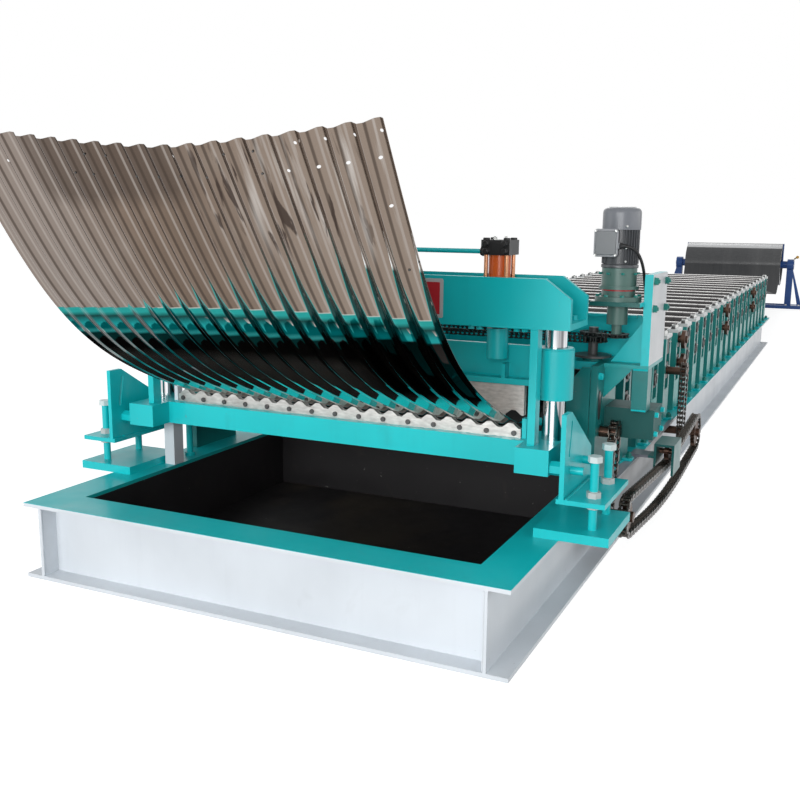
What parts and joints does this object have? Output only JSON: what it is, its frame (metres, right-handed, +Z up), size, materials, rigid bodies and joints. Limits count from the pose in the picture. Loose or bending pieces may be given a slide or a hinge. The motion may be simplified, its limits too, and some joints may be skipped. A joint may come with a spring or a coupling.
{
  "type": "roll forming machine",
  "caption": "Floor-standing roll forming line for corrugated sheet, with an infeed coil, a hydraulic shear, a crimp curving unit and a finished curved panel at the exit.",
  "frame": {"origin": "on the floor under the middle of the front cross beam, at the exit end", "axes": "+X to the right seen from the exit end, +Y along the line towards the coil, +Z up"},
  "size_m": [2.17, 13.9999, 1.5297],
  "materials": {
    "barrel_paint": "semi_gloss",
    "black_cord": "matte",
    "black_paint": "semi_gloss",
    "blade_steel": "semi_gloss",
    "block_steel": "satin",
    "cap_steel": "semi_gloss",
    "chain_steel": "satin",
    "chrome_bar": "polished",
    "coil_steel": "semi_gloss",
    "copper_rods": "semi_gloss",
    "dark_bolts": "semi_gloss",
    "decoiler_paint": "semi_gloss",
    "frame_paint": "semi_gloss",
    "motor_paint": "semi_gloss",
    "pipe_paint": "semi_gloss",
    "reducer_paint": "semi_gloss",
    "roller_chrome": "polished",
    "sheet_steel": "polished",
    "tray_steel": "matte",
    "zinc_bolts": "semi_gloss"
  },
  "bodies": {
    "machine": {"base_beam_left": "frame_paint", "base_beam_right": "frame_paint", "base_cross_front": "frame_paint", "base_cross_members": "frame_paint", "beam_end_blocks": "frame_paint", "bearing_blocks_left": "block_steel", "bearing_blocks_right": "block_steel", "bottom_rollers": "roller_chrome", "crimp_rollers": "roller_chrome", "cross_chains": "chain_steel", "curved_panel": "sheet_steel", "curving_gearbox": "frame_paint", "curving_side_plates": "frame_paint", "curving_top_bar": "frame_paint", "cylinder_barrels": "barrel_paint", "cylinder_caps": "black_paint", "cylinder_heads": "black_paint", "cylinder_tie_rods": "copper_rods", "decoiler_frame_left": "decoiler_paint", "decoiler_frame_right": "decoiler_paint", "decoiler_tie_bars": "decoiler_paint", "drip_tray": "tray_steel", "drive_sprockets": "chain_steel", "guide_columns": "chrome_bar", "hydraulic_pipe": "pipe_paint", "jack_screws": "chrome_bar", "jack_sprockets": "chain_steel", "levelling_studs": "zinc_bolts", "lower_blade": "blade_steel", "lower_blade_beam": "frame_paint", "motor": "motor_paint", "motor_bracket": "frame_paint", "motor_lead": "black_cord", "motor_post": "frame_paint", "motor_shelf": "frame_paint", "reducer": "reducer_paint", "set_screws": "dark_bolts", "shear_bracket_left": "frame_paint", "shear_bracket_right": "frame_paint", "sheet_support": "frame_paint", "side_bars": "frame_paint", "side_chains": "chain_steel", "stand_base_plates": "frame_paint", "station_caps_left": "cap_steel", "station_caps_right": "cap_steel", "station_housings_left": "frame_paint", "station_housings_right": "frame_paint", "strip": "sheet_steel", "top_beam_floor": "frame_paint", "top_beam_front_plate": "frame_paint", "top_beam_rear_plate": "frame_paint", "top_rollers": "roller_chrome"},
    "shear_ram": {"ram_plate": "frame_paint", "ram_sleeves": "frame_paint", "upper_blade": "blade_steel", "cylinder_rods": "chrome_bar"},
    "coil_reel": {"coil": "coil_steel", "mandrel": "decoiler_paint"}
  },
  "joints": [
    {"name": "shear_slide", "type": "slide", "parent": "machine", "child": "shear_ram", "axis": [0, 0, 1], "range_m": [-0.06, 0]},
    {"name": "coil_spin", "type": "hinge", "parent": "machine", "child": "coil_reel", "pos_m": [0, 13.3, 0.65], "axis": [1, 0, 0], "continuous": true}
  ]
}
